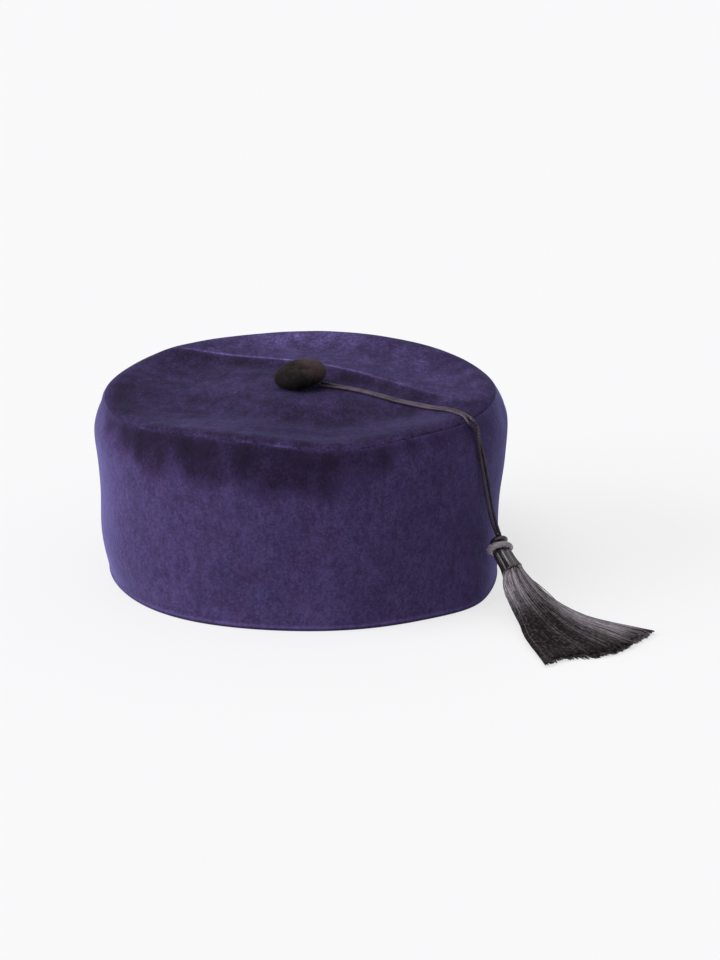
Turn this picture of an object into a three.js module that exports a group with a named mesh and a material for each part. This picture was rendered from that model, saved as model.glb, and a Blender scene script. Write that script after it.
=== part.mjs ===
// A round smoking cap of velvet, standing on its hem: a side band, a crown panel with soft folds,
// a covered button in the middle of the crown, and a doubled silk cord that runs from the button
// over the rim and down to a tassel, whose skirt lies fanned out on the table.
// Millimetres, +Z up. The origin is the middle of the hem, on the table, and the front faces -Y.
import * as THREE from 'three';

// ---- driving sizes ----
const WALL = 2.4; // velvet and its backing together
const GAP = 0.3; // left between pieces that touch
const CAP_STEPS = 64; // facets round the cap
const CROWN_RINGS = 17; // facets from the crown's middle to its edge

const RIM_HEIGHT = 91; // seam between band and crown, mean of the way round
const RIM_RADIUS = 95; // the same seam, before the squareness below
const RIM_TILT = 3.0; // the back of the rim is this much higher than the mean, the front lower
const SEAM_DROP = 0.6; // the seam lies this deep between the two cloths
const DENT_FADE = 8; // the wall's dents die away over this height below the seam
const FOLD_EDGE = 8; // the higher, the nearer to its edge the crown keeps its folds
const FOLD_POINTS = 24; // places tried along a fold's line for the one nearest to a point

const BUTTON = { x: 1, y: 1.2, z: 93.3, turnForward: 5, turnUpRight: 12, steps: 32 };
const STRAND = { diameter: 1.5, sides: 8, steps: 46 };
const TASSEL = { collar: [95.7, -54, 26.2], neckEnd: [101.5, -63, 18] };
const COLLAR = { ring: 4.5, cord: 1.65, sides: 12, steps: 28 };
const HEAD_STEPS = 24;
const SKIRT = { sides: 20, steps: 14 };

// Outside of the band: share is the part of the rim's height, squareness how much further out
// the wall stands on the diagonals than on the axes.
const BAND_SECTIONS = [
  { share: 0.0, radius: 95.6, squareness: 0.034 },
  { share: 0.17, radius: 96.2, squareness: 0.032 },
  { share: 0.42, radius: 97.6, squareness: 0.028 },
  { share: 0.66, radius: 99.4, squareness: 0.022 },
  { share: 0.8, radius: 100.8, squareness: 0.018 },
  { share: 0.88, radius: 100.1, squareness: 0.015 },
  { share: 0.95, radius: 97.7, squareness: 0.012 },
  { share: 0.985, radius: 96.0, squareness: 0.012 },
];

// Top of the crown panel: share is the part of the rim's radius, rise the height over the rim.
const CROWN_SECTIONS = [
  { share: 0.0, rise: 0.0 },
  { share: 0.16, rise: 0.2 },
  { share: 0.32, rise: 0.0 },
  { share: 0.46, rise: -0.8 },
  { share: 0.6, rise: -1.4 },
  { share: 0.72, rise: -1.2 },
  { share: 0.82, rise: -0.2 },
  { share: 0.9, rise: 1.0 },
  { share: 0.955, rise: 1.3 },
  { share: 0.985, rise: 0.7 },
];

// Where the rim stands higher or lower than its tilted circle.
const RIM_WAVES = [
  { name: 'front dip', angle: -78, spread: 16, rise: -1.6 },
  { name: 'front left lift', angle: -112, spread: 24, rise: 3.2 },
  { name: 'front right lift', angle: -55, spread: 14, rise: 1.2 },
  { name: 'left slump', angle: -155, spread: 26, rise: -1.5 },
  { name: 'back left slump', angle: 158, spread: 18, rise: -1.4 },
  { name: 'back lift', angle: 80, spread: 24, rise: 1.3 },
  { name: 'back right slump', angle: 22, spread: 16, rise: -0.8 },
];

// Hollows and swellings of the side wall, outward when depth is positive.
const WALL_DENTS = [
  { name: 'hem tucked in at the left', angle: -150, height: -2, spread: 26, tall: 14, depth: -2.6 },
  { name: 'left side fuller', angle: 184, height: 22, spread: 26, tall: 17, depth: 1.9 },
  { name: 'right side fuller', angle: -2, height: 57, spread: 22, tall: 14, depth: 1.1 },
  { name: 'left shoulder lower', angle: 176, height: 88, spread: 34, tall: 6, depth: -2.2 },
  { name: 'hem corner at the right', angle: -27, height: 4, spread: 24, tall: 28, depth: 3.2 },
  { name: 'soft swell in front', angle: -95, height: 40, spread: 26, tall: 20, depth: 0.8 },
  { name: 'hem fuller in front', angle: -74, height: 0, spread: 26, tall: 10, depth: 2.2 },
  { name: 'hem toe at the front right', angle: -38, height: 0, spread: 12, tall: 12, depth: 3.2 },
];

// Long soft folds of the crown, each along a curve from one end by way of a middle point.
const CROWN_FOLDS = [
  {
    name: 'crease behind the button',
    from: [-68, 62],
    via: [14, 47],
    to: [80, -28],
    rise: 2.2,
    front: 7,
    back: 26,
  },
  {
    name: 'hollow in front of the button',
    from: [-40, -34],
    via: [5, -52],
    to: [44, -40],
    rise: -1.6,
    front: 14,
    back: 16,
  },
];

// Middle lines of the cord's two strands, x, y, z: out from under the button, over the crown,
// across each other where the rim turns down, along the wall's swelling, and down to the tassel.
const STRAND_A_ROUTE = [
  [8.6, -0.4, 92.2],
  [15.1, -2.7, 92.1],
  [23.6, -6.7, 92.0],
  [31.1, -11.0, 91.6],
  [39.5, -16.4, 90.7],
  [47.1, -21.5, 89.9],
  [55.3, -26.6, 89.5],
  [62.8, -32.9, 89.8],
  [69.4, -39.4, 90.8],
  [74.0, -46.8, 91.7],
  [78.4, -53.5, 91.3],
  [80.0, -55.8, 89.3],
  [82.7, -55.2, 86.4],
  [84.8, -55.7, 82.4],
  [86.3, -56.5, 77.2],
  [87.9, -55.0, 70.2],
  [89.4, -52.9, 61.7],
  [90.8, -52.0, 53.9],
  [92.2, -51.0, 46.0],
  [93.9, -50.3, 38.6],
  [95.4, -50.6, 34.4],
  [96.5, -51.2, 32.8],
];
const STRAND_B_ROUTE = [
  [10.4, 3.9, 92.5],
  [16.4, 0.0, 92.3],
  [24.7, -4.6, 92.0],
  [32.2, -9.1, 91.6],
  [40.7, -14.5, 90.8],
  [48.4, -19.6, 90.0],
  [56.6, -24.8, 89.7],
  [64.3, -31.2, 90.0],
  [71.2, -38.0, 91.0],
  [75.9, -45.6, 91.8],
  [80.3, -52.2, 91.2],
  [82.0, -55.0, 90.5],
  [84.4, -56.3, 87.4],
  [84.8, -57.6, 82.9],
  [85.2, -58.3, 77.1],
  [86.1, -57.7, 70.2],
  [87.6, -55.7, 61.3],
  [88.8, -54.5, 53.2],
  [90.3, -52.9, 45.7],
  [91.9, -51.9, 38.8],
  [93.3, -51.3, 34.6],
  [94.7, -51.2, 32.25],
];

// Half outline of the button: a flat underside, a rolled edge and a low dome.
const BUTTON_OUTLINE = [
  { radius: 0, height: 0 },
  { radius: 8.6, height: 0 },
  { radius: 10.6, height: 0.5 },
  { radius: 12.2, height: 1.7 },
  { radius: 13.0, height: 3.6 },
  { radius: 12.7, height: 5.6 },
  { radius: 11.2, height: 7.6 },
  { radius: 8.6, height: 9.2 },
  { radius: 4.7, height: 10.3 },
  { radius: 0, height: 10.7 },
];

// Half outline of the tassel's head, height 0 at the collar: a sleeve, a waist that the collar
// sits in, and a round knob that the cord runs into.
const HEAD_OUTLINE = [
  { radius: 0, height: -13.5 },
  { radius: 5.6, height: -13.5 },
  { radius: 5.3, height: -12.4 },
  { radius: 4.7, height: -9 },
  { radius: 4.4, height: -2.8 },
  { radius: 3.6, height: -2 },
  { radius: 2.5, height: -0.8 },
  { radius: 2.5, height: 0.8 },
  { radius: 3.2, height: 2.3 },
  { radius: 4.2, height: 3.1 },
  { radius: 4.2, height: 4.1 },
  { radius: 3.3, height: 5 },
  { radius: 1.7, height: 5.6 },
  { radius: 0, height: 5.8 },
];

// The knob hangs over to the right of the collar by this much for each mm above the height named.
const KNOB_LEAN = { x: 0.54, y: 0.11, from: 0.8 };

// The collar and all above it slant down to the right by this much for each mm across. The slant
// grows along the sleeve, from the first height to the second.
const SLANT = { drop: 0.28, none: -9, full: -2.6 };

// Cross sections of the skirt, from the neck to the tips: middle, half width, half thickness,
// and bow, how far the middle threads reach past the outer ones.
const SKIRT_SECTIONS = [
  { x: 101.9, y: -63.6, z: 17.45, half: 4.9, thick: 4.9, bow: 0 },
  { x: 104.4, y: -69.2, z: 12.6, half: 8.0, thick: 4.8, bow: 0.6 },
  { x: 110.3, y: -80.4, z: 7.6, half: 11.0, thick: 4.4, bow: 2 },
  { x: 117.8, y: -93.4, z: 4.2, half: 16.4, thick: 3.6, bow: 4 },
  { x: 125.6, y: -105.6, z: 2.6, half: 23.9, thick: 2.6, bow: 6 },
  { x: 139.4, y: -122.8, z: 1.5, half: 34.6, thick: 1.5, bow: 8 },
];

// ---- the cloth's shape ----
const RADIANS = Math.PI / 180;

function bell(distance, spread) {
  return Math.exp(-((distance / spread) ** 2));
}

function turnBetween(angle, other) {
  const turn = Math.abs(angle - other) % 360;
  return Math.min(turn, 360 - turn);
}

function readTable(rows, key, column, at) {
  const after = rows.findIndex((row) => row[key] >= at);
  if (after === 0) return rows[0][column];
  if (after < 0) return rows[rows.length - 1][column];
  const low = rows[after - 1];
  const high = rows[after];
  const part = (at - low[key]) / (high[key] - low[key]);
  return low[column] + (high[column] - low[column]) * part;
}

function rimRise(angle) {
  const waves = RIM_WAVES.map((row) => row.rise * bell(turnBetween(angle, row.angle), row.spread));
  return RIM_TILT * Math.sin(angle * RADIANS) + waves.reduce((sum, rise) => sum + rise, 0);
}

function squareFactor(angle, share) {
  const squareness = readTable(BAND_SECTIONS, 'share', 'squareness', share);
  return 1 + (squareness * (1 - Math.cos(4 * angle * RADIANS))) / 2;
}

function wallDent(angle, height) {
  const dents = WALL_DENTS.map(
    (row) =>
      row.depth *
      bell(turnBetween(angle, row.angle), row.spread) *
      bell(height - row.height, row.tall),
  );
  const lipBottom = RIM_HEIGHT - SEAM_DROP - WALL;
  const fade = THREE.MathUtils.clamp((lipBottom - height) / DENT_FADE, 0, 1);
  return fade * dents.reduce((sum, depth) => sum + depth, 0);
}

function foldRise(x, y) {
  const here = new THREE.Vector2(x, y);
  let rise = 0;
  for (const fold of CROWN_FOLDS) {
    const ends = [fold.from, fold.via, fold.to].map((point) => new THREE.Vector2(...point));
    const line = new THREE.QuadraticBezierCurve(...ends);
    const points = line.getPoints(FOLD_POINTS);
    const nearest = points.reduce((best, point) =>
      point.distanceTo(here) < best.distanceTo(here) ? point : best,
    );
    const isFront = here.y < nearest.y;
    rise += fold.rise * bell(here.distanceTo(nearest), isFront ? fold.front : fold.back);
  }
  return rise;
}

// Turns a closed outline into a round body and then moves each of its points.
function softLathe(outline, move) {
  const geometry = new THREE.LatheGeometry(outline, CAP_STEPS);
  geometry.rotateX(Math.PI / 2);
  const places = geometry.getAttribute('position');
  const place = new THREE.Vector3();
  for (let i = 0; i < places.count; i += 1) {
    place.fromBufferAttribute(places, i);
    move(place);
    places.setXYZ(i, place.x, place.y, place.z);
  }
  return geometry;
}

function moveBand(place) {
  const angle = Math.atan2(place.y, place.x) / RADIANS;
  const share = place.z / RIM_HEIGHT;
  const radius = Math.hypot(place.x, place.y);
  const moved = radius * squareFactor(angle, share) + wallDent(angle, place.z);
  place.x *= moved / radius;
  place.y *= moved / radius;
  place.z += rimRise(angle) * share;
}

function moveCrown(place) {
  const angle = Math.atan2(place.y, place.x) / RADIANS;
  const radius = Math.hypot(place.x, place.y);
  const share = radius / RIM_RADIUS;
  const edge = Math.max(0, 1 - share ** FOLD_EDGE);
  place.z += rimRise(angle) * share + foldRise(place.x, place.y) * edge;
  place.x *= squareFactor(angle, 1);
  place.y *= squareFactor(angle, 1);
}

function sideBand() {
  const outside = BAND_SECTIONS.map((row) => new THREE.Vector2(row.radius, row.share * RIM_HEIGHT));
  const inside = BAND_SECTIONS.slice(0, -2).map(
    (row) => new THREE.Vector2(row.radius - WALL, row.share * RIM_HEIGHT),
  );
  const seam = RIM_RADIUS + GAP / 2;
  const top = RIM_HEIGHT - SEAM_DROP;
  const lip = [new THREE.Vector2(seam, top), new THREE.Vector2(seam, top - WALL)];
  const outline = [...outside, ...lip, ...inside.reverse(), outside[0]];
  return softLathe(outline, moveBand);
}

function crownTop() {
  const above = [];
  const below = [];
  for (let i = 0; i <= CROWN_RINGS; i += 1) {
    const share = (i / CROWN_RINGS) * CROWN_SECTIONS[CROWN_SECTIONS.length - 1].share;
    const top = RIM_HEIGHT + readTable(CROWN_SECTIONS, 'share', 'rise', share);
    above.push(new THREE.Vector2(share * RIM_RADIUS, top));
    if (i < CROWN_RINGS) below.push(new THREE.Vector2(share * RIM_RADIUS, top - WALL));
  }
  const seam = RIM_RADIUS - GAP / 2;
  const lipTop = RIM_HEIGHT - SEAM_DROP;
  const lip = [new THREE.Vector2(seam, lipTop - WALL), new THREE.Vector2(seam, lipTop)];
  const outline = [...below, ...lip, ...above.reverse()];
  return softLathe(outline, moveCrown);
}

function coveredButton() {
  const outline = BUTTON_OUTLINE.map((row) => new THREE.Vector2(row.radius, row.height));
  const geometry = new THREE.LatheGeometry(outline, BUTTON.steps);
  geometry.rotateX(Math.PI / 2);
  return geometry;
}

function strand(route) {
  const line = new THREE.CatmullRomCurve3(route.map((point) => new THREE.Vector3(...point)));
  const radius = STRAND.diameter / 2;
  const section = new THREE.Shape();
  for (let i = 0; i < STRAND.sides; i += 1) {
    const angle = (i / STRAND.sides) * 2 * Math.PI;
    const corner = [radius * Math.cos(angle), radius * Math.sin(angle)];
    if (i === 0) section.moveTo(...corner);
    else section.lineTo(...corner);
  }
  section.closePath();
  return new THREE.ExtrudeGeometry(section, { steps: STRAND.steps, extrudePath: line });
}

function tasselHead() {
  const outline = HEAD_OUTLINE.map((row) => new THREE.Vector2(row.radius, row.height));
  const geometry = new THREE.LatheGeometry(outline, HEAD_STEPS);
  geometry.rotateX(Math.PI / 2);
  const places = geometry.attributes.position;
  for (let i = 0; i < places.count; i += 1) {
    const height = places.getZ(i);
    const above = Math.max(0, height - KNOB_LEAN.from);
    const share = THREE.MathUtils.smoothstep(height, SLANT.none, SLANT.full);
    places.setZ(i, height - SLANT.drop * share * places.getX(i));
    places.setX(i, places.getX(i) + KNOB_LEAN.x * above);
    places.setY(i, places.getY(i) + KNOB_LEAN.y * above);
  }
  return geometry;
}

function tasselCollar() {
  const geometry = new THREE.TorusGeometry(COLLAR.ring, COLLAR.cord, COLLAR.sides, COLLAR.steps);
  const places = geometry.attributes.position;
  for (let i = 0; i < places.count; i += 1) {
    places.setZ(i, places.getZ(i) - SLANT.drop * places.getX(i));
  }
  geometry.computeVertexNormals();
  return geometry;
}

// Rings of points, each with the same count, joined into one closed body with flat strips as ends.
function loft(rings) {
  const sides = rings[0].length;
  const places = rings.flat().flatMap((point) => [point.x, point.y, point.z]);
  const faces = [];
  for (let i = 0; i + 1 < rings.length; i += 1) {
    for (let j = 0; j < sides; j += 1) {
      const a = i * sides + j;
      const b = i * sides + ((j + 1) % sides);
      faces.push(a, b + sides, b, a, a + sides, b + sides);
    }
  }
  const last = (rings.length - 1) * sides;
  for (let j = 0; j < sides / 2; j += 1) {
    const across = sides - j;
    const corners = [j, j + 1, across - 1, across % sides];
    const isPoint = [j === 0, j + 1 === across - 1];
    if (!isPoint[0]) faces.push(corners[0], corners[1], corners[3]);
    if (!isPoint[1]) faces.push(corners[1], corners[2], corners[3]);
    const far = corners.map((corner) => corner + last);
    if (!isPoint[0]) faces.push(far[0], far[3], far[1]);
    if (!isPoint[1]) faces.push(far[1], far[3], far[2]);
  }
  const geometry = new THREE.BufferGeometry();
  geometry.setAttribute('position', new THREE.Float32BufferAttribute(places, 3));
  geometry.setIndex(faces);
  geometry.computeVertexNormals();
  return geometry;
}

function tasselSkirt() {
  const middle = new THREE.CatmullRomCurve3(
    SKIRT_SECTIONS.map((row) => new THREE.Vector3(row.x, row.y, row.z)),
  );
  const up = new THREE.Vector3(0, 0, 1);
  const rings = [];
  for (let i = 0; i <= SKIRT.steps; i += 1) {
    const part = i / SKIRT.steps;
    const at = part * (SKIRT_SECTIONS.length - 1);
    const row = Math.min(Math.floor(at), SKIRT_SECTIONS.length - 2);
    const mix = (column) =>
      THREE.MathUtils.lerp(SKIRT_SECTIONS[row][column], SKIRT_SECTIONS[row + 1][column], at - row);
    const centre = middle.getPoint(part);
    const forward = middle.getTangent(part);
    const side = new THREE.Vector3().crossVectors(forward, up).normalize();
    const above = new THREE.Vector3().crossVectors(side, forward);
    const ring = [];
    for (let j = 0; j < SKIRT.sides; j += 1) {
      const angle = (j / SKIRT.sides) * 2 * Math.PI;
      const point = centre.clone();
      point.addScaledVector(side, mix('half') * Math.cos(angle));
      point.addScaledVector(above, mix('thick') * Math.sin(angle));
      point.addScaledVector(forward, mix('bow') * Math.sin(angle) ** 2);
      point.z = Math.max(point.z, 0);
      ring.push(point);
    }
    rings.push(ring);
  }
  return loft(rings);
}

const cap = new THREE.Group();

function add(name, geometry, colour, roughness, parent = cap) {
  const material = new THREE.MeshStandardMaterial({ color: colour, roughness, metalness: 0 });
  const mesh = new THREE.Mesh(geometry, material);
  mesh.name = name;
  parent.add(mesh);
  return mesh;
}

add('side_band', sideBand(), '#3d3254', 0.9);
add('crown_top', crownTop(), '#3f3454', 0.9);

const button = add('covered_button', coveredButton(), '#211b1c', 0.85);
button.position.set(BUTTON.x, BUTTON.y, BUTTON.z);
button.rotation.set(BUTTON.turnForward * RADIANS, -BUTTON.turnUpRight * RADIANS, 0);

add('cord_strand_a', strand(STRAND_A_ROUTE), '#4a4548', 0.45);
add('cord_strand_b', strand(STRAND_B_ROUTE), '#4a4548', 0.45);

// The collar and the head share one frame, whose +Z runs back along the tassel to the cord.
const tassel = new THREE.Group();
const collarPlace = new THREE.Vector3(...TASSEL.collar);
const neckEndPlace = new THREE.Vector3(...TASSEL.neckEnd);
const tasselBack = collarPlace.clone().sub(neckEndPlace).normalize();
tassel.position.copy(collarPlace);
tassel.quaternion.setFromUnitVectors(new THREE.Vector3(0, 0, 1), tasselBack);
cap.add(tassel);
add('tassel_collar', tasselCollar(), '#3a3436', 0.5, tassel);
add('tassel_head', tasselHead(), '#2c2728', 0.3, tassel);

add('tassel_skirt', tasselSkirt(), '#39333a', 0.5);

export default cap;
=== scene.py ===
import random
from bisect import bisect_right
from math import atan2, ceil, cos, degrees, exp, hypot, pi, radians, sin

import bmesh
import bpy
from mathutils import Matrix, Vector, noise
from mathutils.geometry import interpolate_bezier


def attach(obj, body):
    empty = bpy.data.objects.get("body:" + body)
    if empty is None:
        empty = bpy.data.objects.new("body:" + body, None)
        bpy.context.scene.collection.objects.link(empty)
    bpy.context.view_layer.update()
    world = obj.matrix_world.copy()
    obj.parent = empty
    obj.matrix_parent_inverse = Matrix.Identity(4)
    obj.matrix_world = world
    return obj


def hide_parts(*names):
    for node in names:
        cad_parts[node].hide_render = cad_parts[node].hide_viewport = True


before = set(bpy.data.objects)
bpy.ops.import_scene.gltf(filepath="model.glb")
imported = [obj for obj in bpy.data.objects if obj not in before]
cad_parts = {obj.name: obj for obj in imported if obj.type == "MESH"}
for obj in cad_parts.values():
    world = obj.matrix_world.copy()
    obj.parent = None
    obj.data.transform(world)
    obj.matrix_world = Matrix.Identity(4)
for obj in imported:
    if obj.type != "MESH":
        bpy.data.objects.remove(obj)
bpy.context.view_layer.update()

MM = 0.001
SCENE = bpy.context.scene
rng = random.Random(1881)

# ---- sizes shared with the construction ----
WALL = 2.4  # velvet and its backing together
SEAM_SLIT = 0.08  # between the band's lip and the crown's, drawn together by the stitches
RIM_HEIGHT = 91.0  # the seam, mean of the way round
RIM_RADIUS = 95.0
RIM_TILT = 3.0  # the back of the rim is higher than the mean by this, the front lower
SEAM_DROP = 0.6  # the seam lies this deep between the two cloths
DENT_FADE = 8.0  # the wall's dents die away over this height below the seam
INSIDE_TOP = 80.0  # the band's inner side starts this high, under its shoulder
INSIDE_ROWS = 14
STRAND = 1.5  # diameter of each of the cord's two strands
COLLAR_AT = Vector((95.7, -54.0, 26.2))  # middle of the tassel's collar
NECK_END = Vector((101.5, -63.0, 18.0))  # where the threads leave the tassel's neck
BUTTON_AT = Vector((1.0, 1.2, 93.3))
BUTTON_FORWARD, BUTTON_RIGHT_UP = radians(5), radians(12)

# share of the rim's height, radius, squareness: how much further out the wall is on the diagonals
BAND_SECTIONS = [
    (0.0, 95.6, 0.034),
    (0.17, 96.2, 0.032),
    (0.42, 97.6, 0.028),
    (0.66, 99.4, 0.022),
    (0.8, 100.8, 0.018),
    (0.88, 100.1, 0.015),
    (0.95, 97.7, 0.012),
    (0.985, 96.0, 0.012),
]
# share of the rim's radius, height over the rim
CROWN_SECTIONS = [
    (0.0, 0.0),
    (0.16, 0.2),
    (0.32, 0.0),
    (0.46, -0.8),
    (0.6, -1.4),
    (0.72, -1.2),
    (0.82, -0.2),
    (0.9, 1.0),
    (0.955, 1.3),
    (0.985, 0.7),
]
# where the rim leaves its tilted circle: angle, spread, rise
RIM_WAVES = [
    (-78, 16, -1.6),  # dips in front
    (-112, 24, 3.2),  # lifts at the front left
    (-55, 14, 1.2),  # lifts at the front right
    (-155, 26, -1.5),  # slumps at the left
    (158, 18, -1.4),  # slumps at the back left
    (80, 24, 1.3),  # lifts at the back
    (22, 16, -0.8),  # slumps at the back right
]
# hollows and swellings of the side wall: angle, height, spread, tall, depth
WALL_DENTS = [
    (-150, -2, 26, 14, -2.6),  # hem tucked in at the left
    (184, 22, 26, 17, 1.9),  # left side fuller
    (-2, 57, 22, 14, 1.1),  # right side fuller
    (176, 88, 34, 6, -2.2),  # left shoulder lower
    (-27, 4, 24, 28, 3.2),  # hem corner at the right
    (-95, 40, 26, 20, 0.8),  # soft swell in front
    (-74, 0, 26, 10, 2.2),  # hem fuller in front
    (-38, 0, 12, 12, 3.2),  # hem toe at the front right
]
# long folds of the crown: from, by way of, to, rise, spread in front of its line and behind it
CROWN_FOLDS = [
    ((-68, 62), (14, 47), (80, -28), 2.2, 7, 26),  # crease behind the button
    ((-40, -34), (5, -52), (44, -40), -1.6, 14, 16),  # hollow in front of the button
]
# middle lines of the two strands, from under the button to the tassel's knob
STRAND_A_ROUTE = [
    (8.6, -0.4, 92.2),
    (15.1, -2.7, 92.1),
    (23.6, -6.7, 92.0),
    (31.1, -11.0, 91.6),
    (39.5, -16.4, 90.7),
    (47.1, -21.5, 89.9),
    (55.3, -26.6, 89.5),
    (62.8, -32.9, 89.8),
    (69.4, -39.4, 90.8),
    (74.0, -46.8, 91.7),
    (78.4, -53.5, 91.3),
    (80.0, -55.8, 89.3),
    (82.7, -55.2, 86.4),
    (84.8, -55.7, 82.4),
    (86.3, -56.5, 77.2),
    (87.9, -55.0, 70.2),
    (89.4, -52.9, 61.7),
    (90.8, -52.0, 53.9),
    (92.2, -51.0, 46.0),
    (93.8, -50.3, 38.6),
    (95.15, -50.6, 34.4),
    (96.1, -51.3, 31.4),
    (96.0, -51.4, 29.8),
]
STRAND_B_ROUTE = [
    (10.4, 3.9, 92.5),
    (16.4, 0.0, 92.3),
    (24.7, -4.6, 92.0),
    (32.2, -9.1, 91.6),
    (40.7, -14.5, 90.8),
    (48.4, -19.6, 90.0),
    (56.6, -24.8, 89.7),
    (64.3, -31.2, 90.0),
    (71.2, -38.0, 91.0),
    (75.9, -45.6, 91.8),
    (80.3, -52.2, 91.2),
    (82.0, -55.0, 90.5),
    (84.4, -56.3, 87.4),
    (84.8, -57.6, 82.9),
    (85.2, -58.3, 77.1),
    (86.1, -57.7, 70.2),
    (87.6, -55.7, 61.3),
    (88.8, -54.5, 53.2),
    (90.3, -52.9, 45.7),
    (92.0, -51.8, 38.8),
    (93.55, -51.3, 34.6),
    (94.7, -51.3, 31.2),
    (94.9, -51.4, 29.6),
]


# ---- small helpers ----
def colour(code):
    """A hex sRGB colour as linear red, green, blue and alpha."""
    parts = [int(code[i : i + 2], 16) / 255 for i in (1, 3, 5)]
    return [((c + 0.055) / 1.055) ** 2.4 if c > 0.04045 else c / 12.92 for c in parts] + [1.0]


def bell(distance, spread):
    """1 at no distance, and about a third at the spread."""
    return exp(-((distance / spread) ** 2))


def step(low, high, at):
    """0 below low, 1 above high and a soft S between them."""
    part = min(1.0, max(0.0, (at - low) / (high - low)))
    return part * part * (3 - 2 * part)


def read(rows, at, column=1):
    """Reads a table on a smooth curve through its rows, whose first column rises."""
    places = [row[0] for row in rows]
    i = min(max(bisect_right(places, at) - 1, 0), len(rows) - 2)
    slopes = []
    for j in (i, i + 1):
        low, high = max(j - 1, 0), min(j + 1, len(rows) - 1)
        slopes.append((rows[high][column] - rows[low][column]) / (places[high] - places[low]))
    wide = places[i + 1] - places[i]
    part = min(1.0, max(0.0, (at - places[i]) / wide))
    start, end = rows[i][column], rows[i + 1][column]
    bend = (1 - part) * (slopes[0] * wide - (end - start)) - part * (slopes[1] * wide - (end - start))
    return start + (end - start) * part + part * (1 - part) * bend


def turn_between(angle, other):
    """The smaller turn between two angles, in degrees."""
    turn = abs(angle - other) % 360
    return min(turn, 360 - turn)


def spin_round(bm, geom, steps):
    """Spins an outline once round the upright axis into a closed body."""
    bmesh.ops.spin(
        bm,
        geom=geom,
        cent=(0, 0, 0),
        axis=(0, 0, 1),
        angle=2 * pi,
        steps=steps,
        use_merge=True,
    )
    bmesh.ops.remove_doubles(bm, verts=bm.verts, dist=0.001)
    bmesh.ops.recalc_face_normals(bm, faces=bm.faces)


def spun(profile, steps, closed=False):
    """A body spun from a half outline of (radius, height). A closed one joins its last point to its first."""
    bm = bmesh.new()
    verts = [bm.verts.new((radius, 0, height)) for radius, height in profile]
    pairs = list(zip(verts, verts[1:])) + ([(verts[-1], verts[0])] if closed else [])
    spin_round(bm, verts + [bm.edges.new(pair) for pair in pairs], steps)
    return bm


def rounded(rows, steps):
    """More points on an outline: a smooth curve through its rows."""
    line = []
    for i in range(len(rows) - 1):
        here, there = Vector(rows[i]), Vector(rows[i + 1])
        before = Vector(rows[max(i - 1, 0)])
        after = Vector(rows[min(i + 2, len(rows) - 1)])
        reach = (there - here).length / 3
        handles = here + (there - before).normalized() * reach, there - (after - here).normalized() * reach
        points = interpolate_bezier(here, *handles, there, steps + 1)
        line += [tuple(point)[:2] for point in points[:-1]]
    return line + [tuple(rows[-1])[:2]]


def finish_piece(name, bm, materials, nodes=()):
    """Turns a mesh made in millimetres into a finished piece that rides on the cap's one body."""
    bmesh.ops.scale(bm, vec=(MM, MM, MM), verts=bm.verts)
    mesh = bpy.data.meshes.new(name)
    bm.to_mesh(mesh)
    bm.free()
    return finish_mesh(name, mesh, materials, nodes)


def set_masks(mesh, masks):
    """Stores each mask, a list with a value for every point, as an attribute of the mesh."""
    for name, values in masks.items():
        attribute = mesh.attributes.new(name, "FLOAT", "POINT")
        attribute.data.foreach_set("value", values)


def curve_mesh(data, shades=()):
    """A curve as a mesh with its end caps joined on. shades has one value for each of its points."""
    helper = bpy.data.objects.new(data.name, data)
    SCENE.collection.objects.link(helper)
    ready = helper.evaluated_get(bpy.context.evaluated_depsgraph_get())
    mesh = bpy.data.meshes.new_from_object(ready)
    mesh.materials.clear()
    bpy.data.objects.remove(helper)
    if shades:
        # the caps' corners come first, then the corners round each point
        corners = len(mesh.vertices) // len(shades)
        caps = len(mesh.vertices) - corners * len(shades)
        round_points = [shade for shade in shades for _ in range(corners)]
        set_masks(mesh, {"shade": [shades[-1]] * caps + round_points})
    bm = bmesh.new()
    bm.from_mesh(mesh)
    bmesh.ops.remove_doubles(bm, verts=bm.verts, dist=1e-7)
    bmesh.ops.recalc_face_normals(bm, faces=bm.faces)
    bm.to_mesh(mesh)
    bm.free()
    return mesh


def finish_mesh(name, mesh, materials, nodes=()):
    """Turns a mesh made in metres into a finished piece that rides on the cap's one body."""
    mesh.shade_smooth()
    for material in materials:
        mesh.materials.append(material)
    made = bpy.data.objects.new(name, mesh)
    SCENE.collection.objects.link(made)
    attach(made, "root")
    if nodes:
        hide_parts(*nodes)
    return made


# ---- materials ----
# what the pile is made of: its layer, which way it runs, scale per metre, detail, weight
PILE_LAYERS = [
    ("drift", "brushed", 40.0, 3.0, 0.18),  # nap brushed this way and that in patches of 25 mm
    ("crush", "brushed", 160.0, 4.0, 0.24),  # crushed spots of about 6 mm
    ("streaks", "brushed", 420.0, 3.0, 0.32),  # parted pile, about 2.4 mm wide
    ("tufts", "place", 800.0, 3.0, 0.56),  # tufts of 1.2 mm, coarser than the real 0.4 mm so they show
]
# how far the pile leans, with painted light and shade added: 0 crushed flat and painted shade, 0.5 as
# brushed, 1 raised and painted highlight
PILE_COLOURS = [(0.0, "#110b17"), (0.25, "#20162e"), (0.5, "#34284b"), (0.75, "#4d4270"), (1.0, "#7a72a8")]


def add_node(tree, kind, inputs=None, **settings):
    """Adds a node with its settings. inputs gives a socket a value, or another node's output."""
    made = tree.nodes.new(kind)
    for key, value in settings.items():
        setattr(made, key, value)
    for socket, value in (inputs or {}).items():
        if isinstance(value, bpy.types.NodeSocket):
            tree.links.new(value, made.inputs[socket])
        else:
            made.inputs[socket].default_value = value
    return made


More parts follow.
